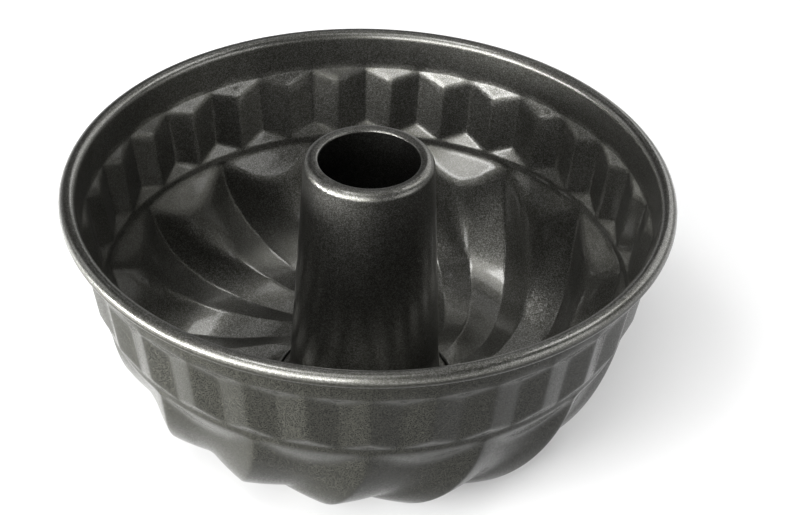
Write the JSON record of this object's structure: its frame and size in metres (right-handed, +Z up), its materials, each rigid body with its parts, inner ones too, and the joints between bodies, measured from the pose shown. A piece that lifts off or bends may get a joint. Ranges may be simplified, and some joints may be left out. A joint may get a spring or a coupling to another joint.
{
  "type": "kugelhopf mould",
  "caption": "Round baking mould of dark coated sheet steel: fluted, swirling bowl with a rolled rim and a tapered centre tube, for a ring-shaped cake.",
  "frame": {"origin": "on the axis, in the plane that the lobes stand on", "axes": "+Z up along the axis, open side of the mould up; +X through the top of a lobe's crest"},
  "size_m": [0.23, 0.23, 0.1082],
  "materials": {
    "coating": "dark grey non-stick coating with a fine metallic grain, satin",
    "wire": "bare drawn steel"
  },
  "bodies": {
    "root": {"fluted_shell": "coating", "centre_tube": "coating", "rim_wire": "wire"}
  },
  "joints": []
}
